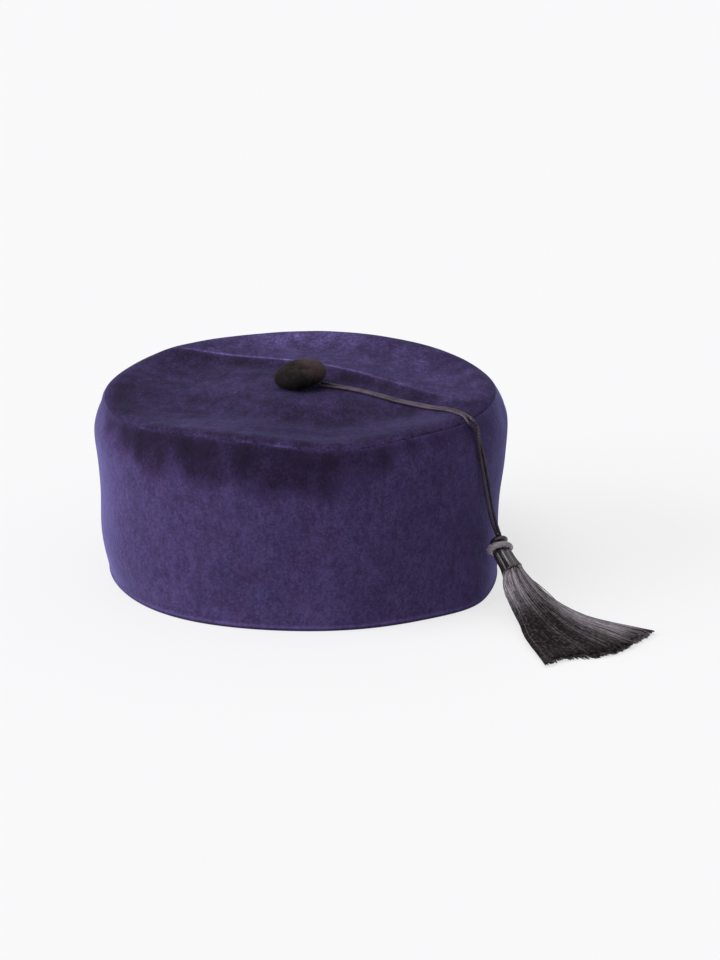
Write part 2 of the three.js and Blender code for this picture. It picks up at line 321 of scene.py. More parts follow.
def start_material(name, values):
    """A material with one shader, whose plain values are set on its own sockets."""
    material = bpy.data.materials.new(name)
    material.use_nodes = True
    shader = material.node_tree.nodes["Principled BSDF"]
    for socket, value in values.items():
        shader.inputs[socket].default_value = value
    return material, material.node_tree, shader


def velvet(name, grain, play, sheen, cast_turn):
    """Crushed cotton velvet, cut pile on a woven ground: dull and dark where one looks down into the
    pile, violet blue where it leans away or is seen from the side, nearly black where it is crushed.
    Its mask adds painted highlights and painted shade to the pile's colour. grain stretches the pile's
    streaks along the nap, play is how strongly they show, and cast_turn is how far the hue drifts."""
    material, tree, shader = start_material(
        name,
        {
            "Roughness": 0.95,
            "Specular IOR Level": 0.1,
            "Sheen Weight": sheen,
            "Sheen Roughness": 0.32,
            "Sheen Tint": colour("#a1a1ec"),
        },
    )
    place = add_node(tree, "ShaderNodeTexCoord").outputs["Object"]
    brushed = add_node(tree, "ShaderNodeMapping", {"Vector": place, "Scale": grain}).outputs["Vector"]
    pile_and_painted_light = add_node(tree, "ShaderNodeAttribute", attribute_name="pile_and_painted_light").outputs["Fac"]
    layers = {}
    for layer, vector, scale, detail, weight in PILE_LAYERS:
        source = brushed if vector == "brushed" else place
        layer_grain = {"Vector": source, "Scale": scale, "Detail": detail, "Roughness": 0.6}
        layers[layer] = add_node(tree, "ShaderNodeTexNoise", layer_grain).outputs["Fac"]
        centring = {0: layers[layer], 1: weight * play, 2: -0.5 * weight * play}
        centred = add_node(tree, "ShaderNodeMath", centring, operation="MULTIPLY_ADD").outputs[0]
        pile_and_painted_light = add_node(tree, "ShaderNodeMath", {0: pile_and_painted_light, 1: centred}, operation="ADD").outputs[0]
    pile = add_node(tree, "ShaderNodeValToRGB", {"Fac": pile_and_painted_light})
    ramp = pile.color_ramp.elements
    ramp[0].position, ramp[0].color = PILE_COLOURS[0][0], colour(PILE_COLOURS[0][1])
    ramp[1].position, ramp[1].color = PILE_COLOURS[-1][0], colour(PILE_COLOURS[-1][1])
    for position, code in PILE_COLOURS[1:-1]:
        ramp.new(position).color = colour(code)
    # the dye looks redder in some patches and bluer in others, about 12 mm across
    patches = {"Vector": place, "Scale": 85.0, "Detail": 2.0}
    cast = add_node(tree, "ShaderNodeTexNoise", patches).outputs["Fac"]
    turn = add_node(
        tree,
        "ShaderNodeMapRange",
        {
            "Value": cast,
            "From Min": 0.3,
            "From Max": 0.7,
            "To Min": 0.5 + cast_turn,
            "To Max": 0.5 - cast_turn,
        },
    ).outputs[0]
    dyed = add_node(tree, "ShaderNodeHueSaturation", {"Hue": turn, "Color": pile.outputs[0]})
    tree.links.new(dyed.outputs[0], shader.inputs["Base Color"])
    joined = {0: layers["streaks"], 1: 1.4, 2: layers["tufts"]}
    height = add_node(tree, "ShaderNodeMath", joined, operation="MULTIPLY_ADD").outputs[0]
    bump = add_node(tree, "ShaderNodeBump", {"Height": height, "Strength": 0.3, "Distance": 0.0005})
    tree.links.new(bump.outputs[0], shader.inputs["Normal"])
    return material


def velvet_ground():
    """The woven cotton ground of the velvet, seen on its inner side: plain, dull and close."""
    material, tree, shader = start_material(
        "cotton_velvet_ground",
        {"Base Color": colour("#2d2538"), "Roughness": 0.95, "Specular IOR Level": 0.2},
    )
    place = add_node(tree, "ShaderNodeTexCoord").outputs["Object"]
    # the weave, 1.1 mm, coarser than the real 0.5 mm so it shows
    weave = add_node(tree, "ShaderNodeTexNoise", {"Vector": place, "Scale": 900.0, "Detail": 2.0})
    height = weave.outputs["Fac"]
    bump = add_node(tree, "ShaderNodeBump", {"Height": height, "Strength": 0.4, "Distance": 0.0004})
    tree.links.new(bump.outputs[0], shader.inputs["Normal"])
    return material


def button_cloth():
    """Brown black wool cloth drawn tight over a button mould: matt, with a fine soft nap."""
    material, tree, shader = start_material(
        "covered_button_wool_cloth",
        {
            "Roughness": 0.85,
            "Specular IOR Level": 0.15,
            "Sheen Weight": 0.06,
            "Sheen Roughness": 0.4,
            "Sheen Tint": colour("#8a7a80"),
        },
    )
    place = add_node(tree, "ShaderNodeTexCoord").outputs["Object"]
    # the nap, 1.4 mm, coarser than the real 0.3 mm so it shows, and rubbed patches of 5 mm
    nap = add_node(tree, "ShaderNodeTexNoise", {"Vector": place, "Scale": 700.0, "Detail": 3.0})
    patches = add_node(tree, "ShaderNodeTexNoise", {"Vector": place, "Scale": 190.0, "Detail": 3.0})
    # the mask paints the upper right lighter and the lower left darker: painted highlight and painted shade
    painted_highlight_and_nap = add_node(tree, "ShaderNodeAttribute", attribute_name="painted_highlight_and_nap").outputs["Fac"]
    for layer, weight in ((nap, 0.5), (patches, 0.9)):
        centring = {0: layer.outputs["Fac"], 1: weight, 2: -0.5 * weight}
        centred = add_node(tree, "ShaderNodeMath", centring, operation="MULTIPLY_ADD").outputs[0]
        painted_highlight_and_nap = add_node(tree, "ShaderNodeMath", {0: painted_highlight_and_nap, 1: centred}, operation="ADD").outputs[0]
    cloths = {0: painted_highlight_and_nap, 6: colour("#070303"), 7: colour("#463638")}
    dyed = add_node(tree, "ShaderNodeMix", cloths, data_type="RGBA")
    tree.links.new(dyed.outputs[2], shader.inputs["Base Color"])
    height = nap.outputs["Fac"]
    bump = add_node(tree, "ShaderNodeBump", {"Height": height, "Strength": 0.35, "Distance": 0.0003})
    tree.links.new(bump.outputs[0], shader.inputs["Normal"])
    return material


def silk(name, low, high, roughness, gloss, coat, scale, paints_light=False):
    """Spun silk or rayon thread: dark, with a long soft shine along the twist. scale sets the size of
    its bundles of fibres, 0.4 to 0.6 mm, coarser than the real 0.1 mm so that they show. With the
    mask switched on, the silk is painted paler on the crown and darker on the wall, with painted
    highlights in stretches of about 7 mm."""
    material, tree, shader = start_material(
        name,
        {
            "Roughness": roughness,
            "Specular IOR Level": gloss,
            "Coat Weight": coat,
            "Coat Roughness": 0.2,
            "Sheen Weight": 0.2,
            "Sheen Roughness": 0.3,
            "Sheen Tint": colour("#b9a8c4"),
        },
    )
    place = add_node(tree, "ShaderNodeTexCoord").outputs["Object"]
    bundles = {"Vector": place, "Scale": scale, "Detail": 2.0}
    fibres = add_node(tree, "ShaderNodeTexNoise", bundles).outputs["Fac"]
    pale = fibres
    if paints_light:
        mask = add_node(tree, "ShaderNodeAttribute", attribute_name="painted_light_and_shade").outputs["Fac"]
        # painted highlights along the strand, about 7 mm long
        stretches = add_node(tree, "ShaderNodeTexNoise", {"Vector": place, "Scale": 140.0, "Detail": 1.0})
        stronger = {0: stretches.outputs["Fac"], 1: 3.0, 2: -0.5}
        varied = add_node(tree, "ShaderNodeMath", stronger, operation="MULTIPLY_ADD").outputs[0]
        painted_light_and_shade = add_node(tree, "ShaderNodeMath", {0: mask, 1: varied}, operation="MULTIPLY").outputs[0]
        pale = add_node(tree, "ShaderNodeMath", {0: pale, 1: painted_light_and_shade}, operation="MULTIPLY").outputs[0]
    silks = {0: pale, 6: colour(low), 7: colour(high)}
    dyed = add_node(tree, "ShaderNodeMix", silks, data_type="RGBA")
    tree.links.new(dyed.outputs[2], shader.inputs["Base Color"])
    bump = add_node(tree, "ShaderNodeBump", {"Height": fibres, "Strength": 0.3, "Distance": 0.0002})
    tree.links.new(bump.outputs[0], shader.inputs["Normal"])
    return material


def threads():
    """Loose rayon threads of the skirt: each a little lighter or darker than the next."""
    material, tree, shader = start_material(
        "rayon_tassel_threads",
        {"Roughness": 0.5, "Specular IOR Level": 0.15},
    )
    place = add_node(tree, "ShaderNodeTexCoord").outputs["Object"]
    # the threads' crimp, 1.5 mm from wave to wave
    crimp = add_node(tree, "ShaderNodeTexNoise", {"Vector": place, "Scale": 650.0, "Detail": 2.0})
    centring = {0: crimp.outputs["Fac"], 1: 0.5, 2: -0.25}
    centred = add_node(tree, "ShaderNodeMath", centring, operation="MULTIPLY_ADD").outputs[0]
    # each thread's own tone, with painted highlight and painted shade added
    shade = add_node(tree, "ShaderNodeAttribute", attribute_name="shade").outputs["Fac"]
    pale = add_node(tree, "ShaderNodeMath", {0: shade, 1: centred}, operation="ADD").outputs[0]
    rayons = {0: pale, 6: colour("#130c0b"), 7: colour("#a0979f")}
    dyed = add_node(tree, "ShaderNodeMix", rayons, data_type="RGBA")
    tree.links.new(dyed.outputs[2], shader.inputs["Base Color"])
    return material


# one velvet in two copies: the crown's has less sheen, and its pile value further on is lower, painted shade
# over the top
BAND_VELVET = velvet("purple_cut_pile_velvet_upright", (1.0, 1.0, 0.65), 0.75, 0.5, 0.008)
CROWN_VELVET = velvet("purple_cut_pile_velvet_flat", (1.0, 0.45, 1.0), 1.35, 0.17, 0.008)
GROUND = velvet_ground()
CORD_SILK = silk("twisted_cord_silk", "#140c13", "#6a566c", 0.35, 0.25, 0.1, 2500.0, paints_light=True)
HEAD_SILK = silk("satin_tassel_silk", "#0e080b", "#352a30", 0.25, 0.5, 0.6, 1800.0)
COLLAR_SILK = silk("plaited_collar_silk", "#584f56", "#a89ea8", 0.3, 0.5, 0.2, 1800.0)
THREADS = threads()


# ---- camera ----
def place_camera():
    """In front, 19 degrees above the table, with a long lens."""
    data = bpy.data.cameras.new("camera")
    data.lens = 105
    data.sensor_width = 36
    camera = bpy.data.objects.new("camera", data)
    camera.location = (0.0291, -1.3203, 0.4546)
    camera.rotation_euler = (radians(72.712), 0, 0)
    SCENE.collection.objects.link(camera)
    SCENE.camera = camera


# ---- the cord ----
TWIST = 4.6  # length of one whole turn of a strand's plies
PLIES = 3
PLY_INSIDE, PLY_CREST = 0.77, 0.29  # of the strand's radius: its grooves, and what a ply adds to them
STRAND_CORNERS = 24
BEND_STEPS = 28  # steps between two points of a route
PAINTED_SHADE_ON_WALL, PAINTED_LIGHT_ON_CROWN = 0.3, 0.7  # how pale the silk is painted: painted shade on the wall below the rim, painted light on the crown


def strand(name, route, node):
    """One silk strand: three plies twisted hard, drawn along the route."""
    outline = bpy.data.curves.new(name + "_outline", "CURVE")
    outline.dimensions = "2D"
    loop = outline.splines.new("POLY")
    loop.points.add(STRAND_CORNERS - 1)
    for i, point in enumerate(loop.points):
        angle = 2 * pi * i / STRAND_CORNERS
        radius = STRAND / 2 * (PLY_INSIDE + PLY_CREST * abs(cos(PLIES * angle / 2))) * MM
        point.co = (radius * cos(angle), radius * sin(angle), 0, 1)
    loop.use_cyclic_u = True
    section = bpy.data.objects.new(name + "_outline", outline)

    data = bpy.data.curves.new(name, "CURVE")
    data.dimensions = "3D"
    data.bevel_mode = "OBJECT"
    data.bevel_object = section
    data.use_fill_caps = True
    data.resolution_u = BEND_STEPS
    data.twist_mode = "MINIMUM"
    line = data.splines.new("BEZIER")
    line.bezier_points.add(len(route) - 1)
    run = 0.0
    for i, (point, at) in enumerate(zip(line.bezier_points, route)):
        point.co = Vector(at) * MM
        point.handle_left_type = point.handle_right_type = "AUTO"
        run += (Vector(at) - Vector(route[i - 1])).length if i else 0.0
        point.tilt = 2 * pi * run / TWIST
    SCENE.collection.objects.link(section)
    mesh = curve_mesh(data)
    on_top = [step(84, 92, vert.co.z / MM) for vert in mesh.vertices]
    set_masks(mesh, {"painted_light_and_shade": [PAINTED_SHADE_ON_WALL + (PAINTED_LIGHT_ON_CROWN - PAINTED_SHADE_ON_WALL) * top for top in on_top]})
    bpy.data.objects.remove(section)
    path = []
    points = line.bezier_points
    for here, there in zip(points, points[1:]):
        handles = here.handle_right, there.handle_left
        path += interpolate_bezier(here.co, *handles, there.co, BEND_STEPS + 1)[:-1]
    path.append(points[-1].co.copy())
    piece = finish_mesh(name, mesh, [CORD_SILK], [node])
    return piece


# ---- the velvet ----
def rim_rise(angle):
    """How far the rim is above its mean height: its tilt and its waves."""
    waves = sum(rise * bell(turn_between(angle, at), spread) for at, spread, rise in RIM_WAVES)
    return RIM_TILT * sin(radians(angle)) + waves


def square_factor(angle, share):
    """How many times further out the wall is than on its circle, at a share of the rim's height."""
    return 1 + read(BAND_SECTIONS, share, 2) * (1 - cos(4 * radians(angle))) / 2


def wall_dent(angle, height):
    """How far the wall's hollows and swellings move it outwards."""
    fade = min(1.0, max(0.0, (RIM_HEIGHT - SEAM_DROP - WALL - height) / DENT_FADE))
    return fade * sum(
        depth * bell(turn_between(angle, at), spread) * bell(height - high, tall)
        for at, high, spread, tall, depth in WALL_DENTS
    )


FOLD_POINTS = 130


def fold_lines():
    """Each fold's middle line as points close together."""
    lines = []
    for start, via, end, *_ in CROWN_FOLDS:
        a, b, c = (Vector(point) for point in (start, via, end))
        shares = [i / FOLD_POINTS for i in range(FOLD_POINTS + 1)]
        lines.append([a * (1 - t) ** 2 + b * 2 * t * (1 - t) + c * t * t for t in shares])
    return lines


FOLD_LINES = fold_lines()


def from_fold(line, x, y):
    """How far a place is from a fold's line: plus behind it, minus in front of it."""
    here = Vector((x, y))
    nearest = min(line, key=lambda point: (point - here).length_squared)
    away = (here - nearest).length
    return away if y > nearest.y else -away


# how far below the seam the crushed pile reaches, and how strongly it is crushed, partly crushed pile and
# partly painted shade under the seam: angle, mm, share
CRUSHED_PILE = [
    (-180, 8, 0.6),
    (-162, 7, 0.65),
    (-150, 9, 0.85),
    (-138, 13, 1.1),
    (-126, 17, 1.1),
    (-114, 19, 1.0),
    (-100, 19, 1.0),
    (-86, 19, 0.95),
    (-77, 18, 0.85),
    (-70, 14, 0.7),
    (-64, 9, 0.6),
    (-56, 7, 0.5),
    (-40, 5, 0.45),
    (-20, 5, 0.3),
    (30, 6, 0.3),
    (80, 12, 0.6),
    (130, 8, 0.6),
    (180, 8, 0.6),
]
# painted highlight along the seam, strongest in front: angle, share
SEAM_GLINT = [
    (-180, 0.0),
    (-125, 0.0),
    (-112, 0.4),
    (-98, 0.8),
    (-86, 0.9),
    (-76, 0.7),
    (-66, 0.2),
    (-30, 0.0),
    (180, 0.0),
]
# painted light on the band: angle, height, spread, tall, how much lighter
BAND_PAINTED_LIGHT = [
    (-172, 45, 24, 60, 0.14),  # painted light round the left side, which faces the window
]
# brushed nap on the crown, with painted shade and painted sheen: x, y, wide, deep, how much lighter
CROWN_NAP_AND_LIGHT_PATCHES = [
    (-31, 3, 14, 12, 0.07),  # lighter left of the button
    (-52, -62, 16, 7, 0.05),  # lighter at the front left
    (10, -78, 40, 8, -0.07),  # darker along the front
    (12, -49, 22, 12, -0.12),  # painted shade in the hollow
    (-86, -10, 8, 30, -0.16),  # darker along the left
    (-5, 86, 44, 16, 0.22),  # painted sheen along the back, seen from the side
]
BAND_LEAN, CROWN_PILE_IN_PAINTED_SHADE = 0.55, 0.35  # how far the pile leans where nothing brushes it; the crown's lower value is painted shade over the whole top
CRUSHED_LEAN = -0.28  # what crushing takes off
BLOTCH, BLOTCH_TALL = 9, 14  # size of the patches that the pile varies over
PUCKER_DEPTH, WAVE_DEPTH = 0.8, 0.9  # of the puckers under the seam and the wall's slow waves
BAND_STEPS = 320
ROW = 1.4  # between the rings of the velvet's mesh
# the hem's outer roll: how far out from the foot, height
HEM_ROLL = [
    (-1.7, 0.15),
    (-1.2, 0.0),
    (-0.6, 0.0),
    (-0.1, 0.2),
    (0.2, 0.7),
    (0.3, 1.3),
    (0.15, 1.9),
    (-0.1, 2.5),
    (-0.1, 3.2),
]


def gathers(angle):
    """Small puckers that the sewing leaves beside the seam."""
    return noise.noise(Vector((cos(radians(angle)) * 7, sin(radians(angle)) * 7, 1.5)))


def side_band():
    """The wall: velvet outside, its rolled hem and its lip at the seam, and bare ground inside."""
    foot = BAND_SECTIONS[0][1]
    seam = RIM_RADIUS + SEAM_SLIT / 2
    last = BAND_SECTIONS[-1][0] * RIM_HEIGHT
    start = HEM_ROLL[-1][1]
    rows = ceil((last - start) / ROW)
    outside = [(foot + out, height) for out, height in HEM_ROLL]
    for i in range(1, rows + 1):
        height = start + (last - start) * i / rows
        outside.append((read(BAND_SECTIONS, height / RIM_HEIGHT), height))
    lip = [(95.5, -0.7), (95.2, -0.5), (95.06, -0.55), (seam, -0.8), (seam, -SEAM_DROP - WALL)]
    lip = [(radius, RIM_HEIGHT + rise) for radius, rise in lip]
    inside = []
    for i in range(INSIDE_ROWS):
        height = INSIDE_TOP + (WALL - INSIDE_TOP) * i / (INSIDE_ROWS - 1)
        inside.append((read(BAND_SECTIONS, height / RIM_HEIGHT) - WALL, height))
    bm = spun(outside + lip + inside, BAND_STEPS, closed=True)
    pile_and_painted_light = []
    for vert in bm.verts:
        x, y, z = vert.co
        angle = degrees(atan2(y, x))
        radius = hypot(x, y)
        share = z / RIM_HEIGHT
        is_out = radius > read(BAND_SECTIONS, share) - WALL / 2
        below = RIM_HEIGHT - SEAM_DROP - z
        puckers = gathers(angle + 0.15 * below)
        waves = noise.noise(Vector((x / 45, y / 45, z / 60 + 7)))
        shift = PUCKER_DEPTH * puckers * bell(below - 8, 7) * step(0, 5, below)
        shift += WAVE_DEPTH * waves * step(0, 14, below) * step(0, 10, z)
        shift *= 1 if is_out else 0.6
        moved = radius * square_factor(angle, share) + wall_dent(angle, z) + shift
        vert.co.x *= moved / radius
        vert.co.y *= moved / radius
        vert.co.z += rim_rise(angle) * share
        blotches = noise.noise(Vector((x / BLOTCH, y / BLOTCH, z / BLOTCH_TALL)))
        reach = read(CRUSHED_PILE, angle) + 2 * puckers + 5 * blotches
        crushed = step(-8, 8, reach - below) * read(CRUSHED_PILE, angle, 2)
        # darkest just under the seam: painted shade under the crown's edge
        crushed *= (0.85 + 0.4 * blotches) * (1 + 0.45 * bell(below - 4, 6))
        # painted highlight along the seam in front
        glint = read(SEAM_GLINT, angle) * bell(below, 0.6) * (0.7 + blotches)
        # painted light along the seam where there is no highlight, which lightens the groove's shade
        painted_groove_light = 0.07 * bell(below, 1.2) * (1 - read(SEAM_GLINT, angle))
        # painted light round the left side of the band
        brushed = sum(
            more * bell(turn_between(angle, at), spread) * bell(z - high, tall)
            for at, high, spread, tall, more in BAND_PAINTED_LIGHT
        )
        # painted highlight along the hem's roll 2 mm up, and painted shade along its bottom edge
        hem = 0.16 * bell(z - 2.0, 0.6) - 0.3 * bell(z, 1.1)
        pile_and_painted_light.append(BAND_LEAN + CRUSHED_LEAN * crushed + 0.2 * glint + painted_groove_light + brushed + hem)
    for face in bm.faces:
        middle = face.calc_center_median()
        is_inner = face.normal.dot(Vector((middle.x, middle.y, 0))) < 0
        face.material_index = int(is_inner and middle.z < RIM_HEIGHT - SEAM_DROP - 2)
    piece = finish_piece("velvet_side_band", bm, [BAND_VELVET, GROUND], ["side_band"])
    set_masks(piece.data, {"pile_and_painted_light": pile_and_painted_light})
    return piece


def crown_top():
    """The round panel on top, with its folds, its lip at the seam and bare ground under it."""
    last = CROWN_SECTIONS[-1][0]
    rows = ceil(last * RIM_RADIUS / ROW)
    above = [
        (last * RIM_RADIUS * i / rows, RIM_HEIGHT + read(CROWN_SECTIONS, last * i / rows))
        for i in range(rows + 1)
    ]
    seam = RIM_RADIUS - SEAM_SLIT / 2
    lip = [(94.2, 0.36), (94.6, 0.1), (94.85, -0.15), (seam, -0.5), (seam, -SEAM_DROP - WALL)]
    lip = [(radius, RIM_HEIGHT + rise) for radius, rise in lip]
    under = [(radius, height - WALL) for radius, height in above[:-1:4]]
    bm = spun(above + lip + under[::-1], BAND_STEPS)
    crease, hollow = FOLD_LINES
    crease_rise, crease_front, crease_back = CROWN_FOLDS[0][3:]
    hollow_rise, hollow_front, hollow_back = CROWN_FOLDS[1][3:]
    pile_and_painted_light = []
    for vert in bm.verts:
        x, y, _ = vert.co
        angle = degrees(atan2(y, x))
        radius = hypot(x, y)
        share = radius / RIM_RADIUS
        edge = max(0.0, 1 - share**8)
        ripples = 0.25 * noise.noise(Vector((x / 22, y / 22, 3)))
        ripples += 0.12 * noise.noise(Vector((x / 7, y / 7, 5)))
        behind = from_fold(crease, x, y)
        over = from_fold(hollow, x, y)
        rise = crease_rise * bell(behind, crease_back if behind > 0 else crease_front)
        rise += hollow_rise * bell(over, hollow_back if over > 0 else hollow_front)
        vert.co.z += rim_rise(angle) * share + (rise + ripples) * edge
        vert.co.z += 0.35 * gathers(angle) * bell(share - 0.93, 0.05)
        vert.co.x *= square_factor(angle, 1)
        vert.co.y *= square_factor(angle, 1)
        blotches = noise.noise(Vector((x / BLOTCH, y / BLOTCH, 11)))
        # brushed nap, with painted shade in the hollow and painted sheen along the back
        brushed = sum(
            more * bell((x - at_x) / wide, 1) * bell((y - at_y) / deep, 1)
            for at_x, at_y, wide, deep, more in CROWN_NAP_AND_LIGHT_PATCHES
        )
        # painted highlight along the crease's crest, fading to the right, painted sheen on the slope behind
        # it and painted shade in front of it
        crest_highlight = 0.5 - 0.28 * step(15, 70, x)
        crease_painted_light = crest_highlight * bell(behind, 1.3) + 0.14 * step(0, 3, behind) - 0.06 * bell(behind + 8, 5)
        # painted highlight along the crown's side of the seam in front
        glint = read(SEAM_GLINT, angle) * bell((1 - share) * RIM_RADIUS, 0.7) * (0.7 + blotches)
        # painted light along the crown's rolled edge, and more of it at the left edge
        rolled = 0.06 * step(0.95, 0.99, share) * step(-70, -10, x)
        rolled += 0.12 * step(0.93, 1.0, share) * step(60, 92, -x)
        pile_and_painted_light.append(CROWN_PILE_IN_PAINTED_SHADE + brushed + crease_painted_light * edge + rolled + 0.25 * glint + 0.12 * blotches)
    for face in bm.faces:
        face.material_index = int(face.normal.z < -0.3)
    piece = finish_piece("velvet_crown", bm, [CROWN_VELVET, GROUND], ["crown_top"])
    set_masks(piece.data, {"pile_and_painted_light": pile_and_painted_light})
    return piece


# ---- the button ----
# half outline: radius, height
BUTTON_OUTLINE = [
    (0, 0),
    (8.6, 0),
    (10.6, 0.5),
    (12.2, 1.7),
    (13.0, 3.6),
    (12.7, 5.6),
    (11.2, 7.6),
    (8.6, 9.2),
    (4.7, 10.3),
    (0, 10.7),
]


def covered_button():
    """A domed button, uneven where the cloth is gathered, that leans a little forward."""
    bm = spun([(0, 0), (4.3, 0)] + rounded([(r, h, 0) for r, h in BUTTON_OUTLINE[1:]], 5), 96)
    turn = Matrix.Rotation(BUTTON_FORWARD, 4, "X") @ Matrix.Rotation(-BUTTON_RIGHT_UP, 4, "Y")
    painted_highlight_and_nap = []
    for vert in bm.verts:
        # painted highlight on the upper right, painted shade on the lower left
        painted_highlight_and_nap.append(0.8 * step(-7, 12, vert.co.x + 0.5 * vert.co.y))
        if vert.co.z > 1:
            vert.co *= 1 + 0.05 * noise.noise(vert.co / 11)
    bmesh.ops.transform(bm, matrix=Matrix.Translation(BUTTON_AT) @ turn, verts=bm.verts)
    piece = finish_piece("cloth_covered_button", bm, [button_cloth()], ["covered_button"])
    set_masks(piece.data, {"painted_highlight_and_nap": painted_highlight_and_nap})
    return piece


# ---- the tassel ----
# half outline of the neck, the waist that the collar sits in and the knob: radius, height
HEAD_OUTLINE = [
    (5.6, -13.5),
    (5.3, -12.4),
    (4.7, -9),
    (4.4, -2.8),
    (3.6, -2),
    (2.5, -0.8),
    (2.5, 0.8),
    (3.2, 2.3),
    (4.2, 3.1),
    (4.2, 4.1),
    (3.3, 5),
    (1.7, 5.6),
    (0, 5.8),
]
KNOB_LEAN = (0.54, 0.11, 0.8)  # over to the right and back for each mm above this height
SLANT = 0.28  # drop to the right of the collar and the knob for each mm across
PLEATS = 6  # round the neck
PLEAT_DEPTH = 0.9
RIDGES = 36  # fine ridges of the wound threads
RIDGE_DEPTH = 0.08


def tassel_frame():
    """The collar's place, with +Z back along the tassel to the cord."""
    back = (COLLAR_AT - NECK_END).normalized()
    turn = Vector((0, 0, 1)).rotation_difference(back).to_matrix().to_4x4()
    return Matrix.Translation(COLLAR_AT) @ turn


def tassel_head():
    """A pleated satin neck under the collar, and a wound knob over it."""
    outline = rounded([(radius, height, 0) for radius, height in HEAD_OUTLINE], 4)
    bm = spun([(0, HEAD_OUTLINE[0][1])] + outline, RIDGES * 5)
    for vert in bm.verts:
        angle = atan2(vert.co.y, vert.co.x)
        pleat = abs(sin(PLEATS * angle / 2)) ** 0.6 if vert.co.z < -1 else 0.7
        ridge = RIDGE_DEPTH * abs(sin(RIDGES * angle / 2))
        radius = hypot(vert.co.x, vert.co.y)
        if radius > 1:
            vert.co.x *= (radius - PLEAT_DEPTH + pleat + ridge) / radius
            vert.co.y *= (radius - PLEAT_DEPTH + pleat + ridge) / radius
        above = max(0.0, vert.co.z - KNOB_LEAN[2])
        vert.co.z -= SLANT * step(-9, -2.6, vert.co.z) * vert.co.x
        vert.co.x += KNOB_LEAN[0] * above
        vert.co.y += KNOB_LEAN[1] * above
    bmesh.ops.transform(bm, matrix=tassel_frame(), verts=bm.verts)
    return finish_piece("tassel_knob_and_neck", bm, [HEAD_SILK], ["tassel_head"])


COLLAR_RING, COLLAR_CORD = 4.5, 1.75  # radius of the ring and of its cord
COLLAR_PLIES, COLLAR_TURNS, COLLAR_STEPS = 3, 9, 162


def tassel_collar():
    """A ring of three plies twisted together."""
    bm = bmesh.new()
    made = bmesh.ops.create_circle(bm, cap_ends=False, radius=COLLAR_CORD, segments=24)
    bmesh.ops.rotate(bm, verts=made["verts"], cent=(0, 0, 0), matrix=Matrix.Rotation(pi / 2, 3, "X"))
    bmesh.ops.translate(bm, verts=made["verts"], vec=(COLLAR_RING, 0, 0))
    spin_round(bm, bm.verts[:] + bm.edges[:], COLLAR_STEPS)
    for vert in bm.verts:
        round_at = atan2(vert.co.y, vert.co.x)
        middle = Vector((COLLAR_RING * cos(round_at), COLLAR_RING * sin(round_at), 0))
        out = vert.co - middle
        angle = atan2(out.z, out.dot(middle.normalized()))
        ply = abs(cos(COLLAR_PLIES * angle / 2 + COLLAR_TURNS * round_at / 2))
        vert.co = middle + out * (0.78 + 0.22 * ply)
        vert.co.z -= SLANT * vert.co.x
    bmesh.ops.transform(bm, matrix=tassel_frame(), verts=bm.verts)
    return finish_piece("tassel_collar_ring", bm, [COLLAR_SILK], ["tassel_collar"])


# cross sections of the skirt: middle x, y, z, half width, half thickness, bow of the middle threads
SKIRT_SECTIONS = [
    (101.9, -63.6, 17.45, 4.9, 4.9, 0.0),
    (104.4, -69.2, 12.6, 8.0, 4.8, 0.6),
    (110.3, -80.4, 7.6, 11.0, 4.4, 2.0),
    (117.8, -93.4, 4.2, 16.4, 3.6, 4.0),
    (125.6, -105.6, 2.6, 23.9, 2.6, 6.0),
    (139.4, -122.8, 1.5, 34.6, 1.5, 8.0),
]
# how much of the bow the threads have: across from the right edge to the left, share
TIP_LINE = [
    (-1.0, 0.0),
    (-0.7, 0.5),
    (-0.45, 0.75),
    (-0.1, 1.1),
    (0.2, 0.85),
    (0.45, 0.5),
    (0.62, 0.1),
    (1.0, 0.05),
]
THREAD = 0.46  # thickness of one thread
THREAD_STEPS = 13
LOCKS = 40  # bunches that the threads of a bundle draw together in
STRAY_SHARE, STRAY_WAVE = 0.008, 5  # how many threads are loose, and how much more they wave


def skirt_point(part, across, over):
    """A place in the skirt: part of the way to the tips, across from -1 to 1 and over from -1 to 1."""
    rows = [(i / (len(SKIRT_SECTIONS) - 1), *row) for i, row in enumerate(SKIRT_SECTIONS)]
    x, y, z, half, thick, bow = (read(rows, part, column) for column in range(1, 7))
    ahead = [read(rows, min(part + 0.02, 1.0), c) - read(rows, min(part, 0.98), c) for c in (1, 2, 3)]
    forward = Vector(ahead).normalized()
    side = forward.cross(Vector((0, 0, 1))).normalized()
    above = side.cross(forward)
    room = max(0.0, 1 - across * across)
    place = Vector((x, y, z)) + side * half * across + above * thick * over * room**0.5
    return place + forward * bow * read(TIP_LINE, across)


def thread_painted_light(part, across):
    """Paler near the neck, along the right edge and down the left edge by the neck, darker where the threads
    turn to the left: painted highlight and painted shade.
    """
    near_neck = 1 - step(0.12, 0.68 - 0.07 * across, part)
    right_edge = 0.78 * step(-0.25, 0.8, -across)
    right_edge *= step(0.2, 0.5, part) * (1 - 0.3 * step(0.88, 1, part))
    left_edge = 0.2 * step(0.5, 0.9, across) * (1 - step(0.1, 0.3, part))
    return -0.06 + 0.68 * max(near_neck, right_edge) + left_edge


